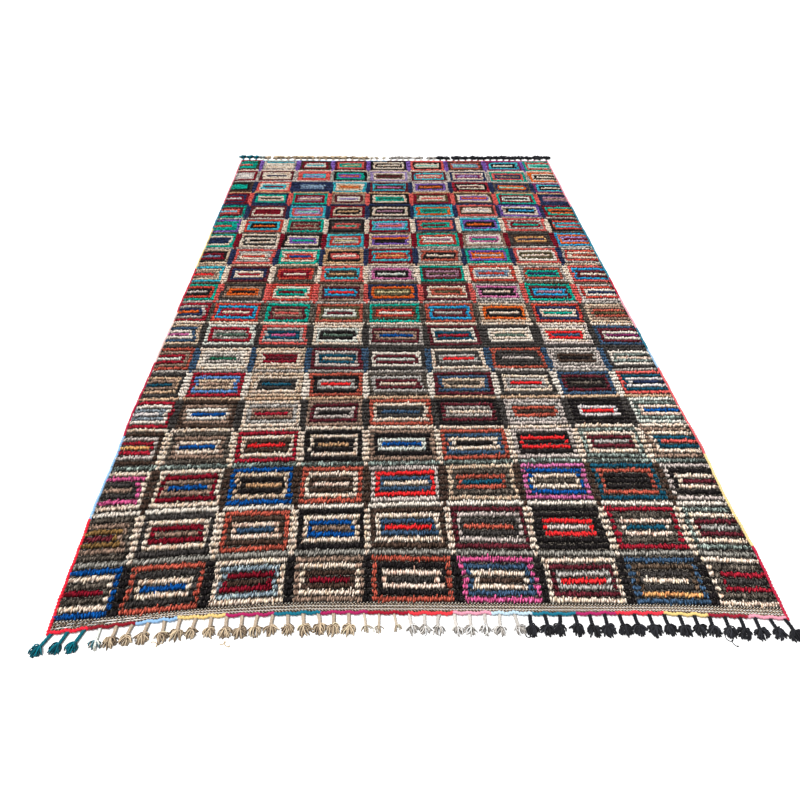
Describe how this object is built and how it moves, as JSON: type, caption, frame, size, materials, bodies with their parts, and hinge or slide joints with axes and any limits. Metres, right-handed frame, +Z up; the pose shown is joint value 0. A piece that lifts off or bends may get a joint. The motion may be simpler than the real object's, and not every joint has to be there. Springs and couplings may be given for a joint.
{
  "type": "boucherouite rug",
  "caption": "Rectangular hand-knotted rag rug lying flat, with ribbed shag pile in nested colour blocks, a wrapped edge cord and tasselled fringes at both ends.",
  "frame": {"origin": "on the floor, under the middle of the rug's outside with its fringes", "axes": "+X across the rug, +Y along its length away from the end with the flat-woven band, +Z up out of the pile"},
  "size_m": [2.0324, 3.2676, 0.015],
  "materials": {
    "pile": "knotted rag and wool pile, matt",
    "yarn_beige": "dyed wool yarn, matt",
    "yarn_black": "dyed wool yarn, matt",
    "yarn_coral": "dyed wool yarn, matt",
    "yarn_cream": "dyed wool yarn, matt",
    "yarn_crimson": "dyed wool yarn, matt",
    "yarn_dark_red": "dyed wool yarn, matt",
    "yarn_magenta": "dyed wool yarn, matt",
    "yarn_mint": "dyed wool yarn, matt",
    "yarn_navy": "dyed wool yarn, matt",
    "yarn_pale_blue": "dyed wool yarn, matt",
    "yarn_pale_pink": "dyed wool yarn, matt",
    "yarn_pale_yellow": "dyed wool yarn, matt",
    "yarn_rose": "dyed wool yarn, matt",
    "yarn_scarlet": "dyed wool yarn, matt",
    "yarn_sky": "dyed wool yarn, matt",
    "yarn_teal": "dyed wool yarn, matt",
    "yarn_turquoise": "dyed wool yarn, matt",
    "yarn_wine": "dyed wool yarn, matt"
  },
  "bodies": {
    "root": {"far_fringe_beige": "yarn_beige", "far_fringe_black": "yarn_black", "far_fringe_cream": "yarn_cream", "far_fringe_teal": "yarn_teal", "far_wrap_01_crimson": "yarn_crimson", "far_wrap_02_mint": "yarn_mint", "far_wrap_03_teal": "yarn_teal", "far_wrap_04_sky": "yarn_sky", "far_wrap_05_navy": "yarn_navy", "far_wrap_06_sky": "yarn_sky", "far_wrap_07_wine": "yarn_wine", "far_wrap_08_coral": "yarn_coral", "far_wrap_09_magenta": "yarn_magenta", "far_wrap_10_rose": "yarn_rose", "left_wrap_01_scarlet": "yarn_scarlet", "left_wrap_02_sky": "yarn_sky", "left_wrap_03_crimson": "yarn_crimson", "left_wrap_04_pale_pink": "yarn_pale_pink", "left_wrap_05_crimson": "yarn_crimson", "left_wrap_06_pale_yellow": "yarn_pale_yellow", "left_wrap_07_teal": "yarn_teal", "left_wrap_08_rose": "yarn_rose", "near_fringe_beige": "yarn_beige", "near_fringe_black": "yarn_black", "near_fringe_cream": "yarn_cream", "near_fringe_teal": "yarn_teal", "near_wrap_01_scarlet": "yarn_scarlet", "near_wrap_02_dark_red": "yarn_dark_red", "near_wrap_03_sky": "yarn_sky", "near_wrap_04_pale_yellow": "yarn_pale_yellow", "near_wrap_05_magenta": "yarn_magenta", "near_wrap_06_teal": "yarn_teal", "near_wrap_07_magenta": "yarn_magenta", "near_wrap_08_dark_red": "yarn_dark_red", "near_wrap_09_scarlet": "yarn_scarlet", "near_wrap_10_rose": "yarn_rose", "near_wrap_11_pale_blue": "yarn_pale_blue", "near_wrap_12_teal": "yarn_teal", "near_wrap_13_magenta": "yarn_magenta", "near_wrap_14_scarlet": "yarn_scarlet", "near_wrap_15_pale_yellow": "yarn_pale_yellow", "near_wrap_16_dark_red": "yarn_dark_red", "near_wrap_17_rose": "yarn_rose", "right_wrap_01_crimson": "yarn_crimson", "right_wrap_02_pale_yellow": "yarn_pale_yellow", "right_wrap_03_coral": "yarn_coral", "right_wrap_04_sky": "yarn_sky", "right_wrap_05_teal": "yarn_teal", "right_wrap_06_rose": "yarn_rose", "right_wrap_07_crimson": "yarn_crimson", "right_wrap_08_turquoise": "yarn_turquoise", "right_wrap_09_rose": "yarn_rose", "rug_body": "pile"}
  },
  "joints": []
}
